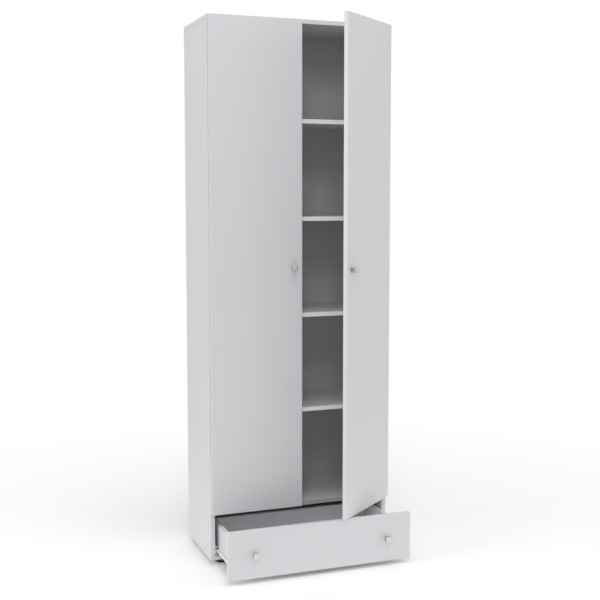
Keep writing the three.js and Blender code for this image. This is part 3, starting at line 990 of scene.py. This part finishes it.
def bottom_groove(name, s=0):
    """A cutter for the groove that holds the drawer's bottom sheet. s tells the two sides."""
    sheet_low, sheet_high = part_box("drawer_bottom")
    low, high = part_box(name)
    z0, z1 = sheet_low.z - GAP, sheet_high.z + GAP
    if s:
        inner = low.x if s > 0 else high.x
        ends = sorted((inner - s * OVERCUT, inner + s * GROOVE_DEPTH))
        return slab((ends[0], low.y - OVERCUT, z0), (ends[1], high.y + OVERCUT, z1))
    if name == "drawer_front":
        left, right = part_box("drawer_side_left")[1].x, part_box("drawer_side_right")[0].x
        return slab((left, high.y - GROOVE_DEPTH, z0), (right, high.y + OVERCUT, z1))
    return slab((low.x - OVERCUT, low.y - OVERCUT, z0), (high.x + OVERCUT, low.y + GROOVE_DEPTH, z1))


def runner_section(path, bend, low, high):
    """Sheet metal bent along a path in X and Z, over a node's length."""
    return extruded(folded(path, SHEET_METAL, bend), (0, 2), (low.y, high.y), 0.15 * MM)


def cabinet_runner(side, s):
    """A channel open towards the drawer, with its screws and the pin of the front roller."""
    name = "runner_cabinet_" + side
    x = inward_scale(side, s)
    low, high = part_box(name)
    back_edge, open_edge = inward_limits(name, side, s)
    half = SHEET_METAL / 2
    bottom, top, web = low.z + half, high.z - half, back_edge + half
    path = rectangle(x(open_edge), x(web), bottom, top)
    runner = Assembly(EPOXY, ZINC)
    runner.add(runner_section(path, 0.6 * MM, low, high), EPOXY)
    pivot = middle("roller_front_" + side)
    runner.add(roller_pin((x(back_edge), pivot.y, pivot.z), (-s, 0, 0), open_edge - back_edge), ZINC)
    for y in (low.y + 35 * MM, (low.y + high.y) / 2, high.y - 40 * MM):
        add_screw(runner, "set", (x(back_edge + SHEET_METAL), y, high.z - 5.2 * MM), (-s, 0, 0), 10)
    runner.finish(name + "_detail", "carcass", [name])


def drawer_runner(side, s):
    """An angle under the drawer side, with a lip over the front roller and a pin for the rear one."""
    name = "runner_drawer_" + side
    x = inward_scale(side, s)
    low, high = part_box(name)
    lip, flange = inward_limits(name, side, s)
    half = SHEET_METAL / 2
    web = inward_limits("drawer_side_" + side, side, s)[0] - GAP - half
    bottom, top = low.z + half, high.z - half
    path = [(x(flange), bottom), (x(web), bottom), (x(web), top), (x(lip), top)]
    runner = Assembly(EPOXY, ZINC)
    runner.add(runner_section(path, 0.5 * MM, low, high), EPOXY)
    pivot = middle("roller_rear_" + side)
    runner.add(roller_pin((x(web), pivot.y, pivot.z), (s, 0, 0), web - lip), ZINC)
    for y in (low.y + 30 * MM, (low.y + high.y) / 2, high.y - 60 * MM):
        add_screw(runner, "flat", (x((flange + web) / 2), y, low.z), DOWN, 50)
    runner.finish(name + "_detail", "drawer", [name])


def roller_pin(start, direction, length):
    """The riveted pin that a roller turns on."""
    steps = [(0, 0), (PIN_RADIUS, 0), (PIN_RADIUS, length - 0.7 * MM)]
    steps += [(PIN_RADIUS * 0.9, length - 0.2 * MM), (PIN_RADIUS * 0.5, length), (0, length)]
    return turned(steps, start, direction, 20)


def roller(name):
    """A nylon wheel with a raised hub and rim. It rides on the body of the same name."""
    low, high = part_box(name)
    radius, width = (high.z - low.z) / 2, high.x - low.x
    steps = [(BORE_RADIUS, 0), (BORE_RADIUS + 1.2 * MM, 0), (BORE_RADIUS + 1.6 * MM, 0.7 * MM)]
    steps += [(radius - 1.7 * MM, 0.7 * MM), (radius - 1.3 * MM, 0)]
    steps += [(radius - 0.5 * MM, 0), (radius, 0.5 * MM)]
    mirrored = [(r, width - along) for r, along in reversed(steps)]
    start = (low.x, middle(name).y, middle(name).z)
    wheel = Assembly(WHITE_PLASTIC)
    wheel.add(turned(steps + mirrored, start, (1, 0, 0), 36, hollow=True), WHITE_PLASTIC)
    wheel.finish(name + "_wheel", name, [name])


# ---------- the stage ----------

def stage():
    """A pale round floor under the wardrobe."""
    floor_look = Look("floor", (0.9, 0.9, 0.9), 0.7)
    floor_look.shader.inputs["Emission Color"].default_value = (1, 1, 1, 1)
    floor_look.shader.inputs["Emission Strength"].default_value = FLOOR_GLOW
    floor_look.tint(floor_look.noise(3, 2), (0.895, 0.895, 0.895), (0.905, 0.905, 0.905))
    fade_floor(floor_look)
    rings = [(0, 0)] + [(radius, 0) for radius in FLOOR_RINGS]
    mesh = mesh_of(turned(rings, (0, 0, 0), UP, 96), "floor")
    mesh.materials.append(floor_look.material)
    floor = put_in_scene("floor", mesh)


def fade_floor(look):
    """The floor clears away with the distance from the middle, so that it has no visible edge."""
    length = look.nodes.new("ShaderNodeVectorMath")
    length.operation = "LENGTH"
    look.links.new(look.place.outputs["Object"], length.inputs[0])
    fade = look.nodes.new("ShaderNodeMapRange")
    fade.interpolation_type = "SMOOTHSTEP"
    fade.inputs["From Min"].default_value, fade.inputs["From Max"].default_value = FLOOR_FADE
    look.links.new(length.outputs["Value"], fade.inputs["Value"])
    clear = look.nodes.new("ShaderNodeBsdfTransparent")
    mix = look.nodes.new("ShaderNodeMixShader")
    look.links.new(fade.outputs["Result"], mix.inputs["Fac"])
    look.links.new(look.shader.outputs["BSDF"], mix.inputs[1])
    look.links.new(clear.outputs["BSDF"], mix.inputs[2])
    look.links.new(mix.outputs["Shader"], look.nodes["Material Output"].inputs["Surface"])


def soft_light(name, place, target, size, power):
    data = bpy.data.lights.new(name, "AREA")
    data.shape = "RECTANGLE"
    data.size, data.size_y = size
    data.energy = power
    light = put_in_scene(name, data)
    light.location = place
    light.rotation_euler = (Vector(target) - Vector(place)).to_track_quat("-Z", "Y").to_euler()


def studio():
    """An even sky that lights the object, which the camera sees as plain white."""
    world = bpy.data.worlds.new("studio")
    bpy.context.scene.world = world
    world.use_nodes = True
    nodes, links = world.node_tree.nodes, world.node_tree.links
    sky = nodes["Background"]
    sky.inputs["Color"].default_value = (1, 1, 1, 1)
    sky.inputs["Strength"].default_value = SKY_STRENGTH
    backdrop = nodes.new("ShaderNodeBackground")
    backdrop.inputs["Color"].default_value = (1, 1, 1, 1)
    seen = nodes.new("ShaderNodeLightPath")
    mix = nodes.new("ShaderNodeMixShader")
    links.new(seen.outputs["Is Camera Ray"], mix.inputs["Fac"])
    links.new(sky.outputs["Background"], mix.inputs[1])
    links.new(backdrop.outputs["Background"], mix.inputs[2])
    links.new(mix.outputs["Shader"], nodes["World Output"].inputs["Surface"])
    bpy.context.scene.view_settings.view_transform = "Standard"


def set_camera():
    data = bpy.data.cameras.new("camera")
    data.lens = CAMERA_LENS
    data.sensor_width = CAMERA_SENSOR
    data.shift_y = CAMERA_SHIFT
    camera = put_in_scene("camera", data)
    camera.location = CAMERA_PLACE
    camera.rotation_euler = (math.radians(90 - CAMERA_TILT), 0, math.radians(CAMERA_HEADING))
    bpy.context.scene.camera = camera


studio()
for light in LIGHTS:
    soft_light(*light)
set_camera()
stage()
for side, s in SIDES:
    side_panel(side, s)
level_boards()
shelf_pins()
back()
back_nails()
for end in ("front", "rear"):
    for side, _ in SIDES:
        foot(f"foot_{end}_{side}")
bottom_screws()
for side, s in SIDES:
    door(side, s)
    cabinet_runner(side, s)
    drawer_runner(side, s)
    roller("roller_front_" + side)
    roller("roller_rear_" + side)
drawer()
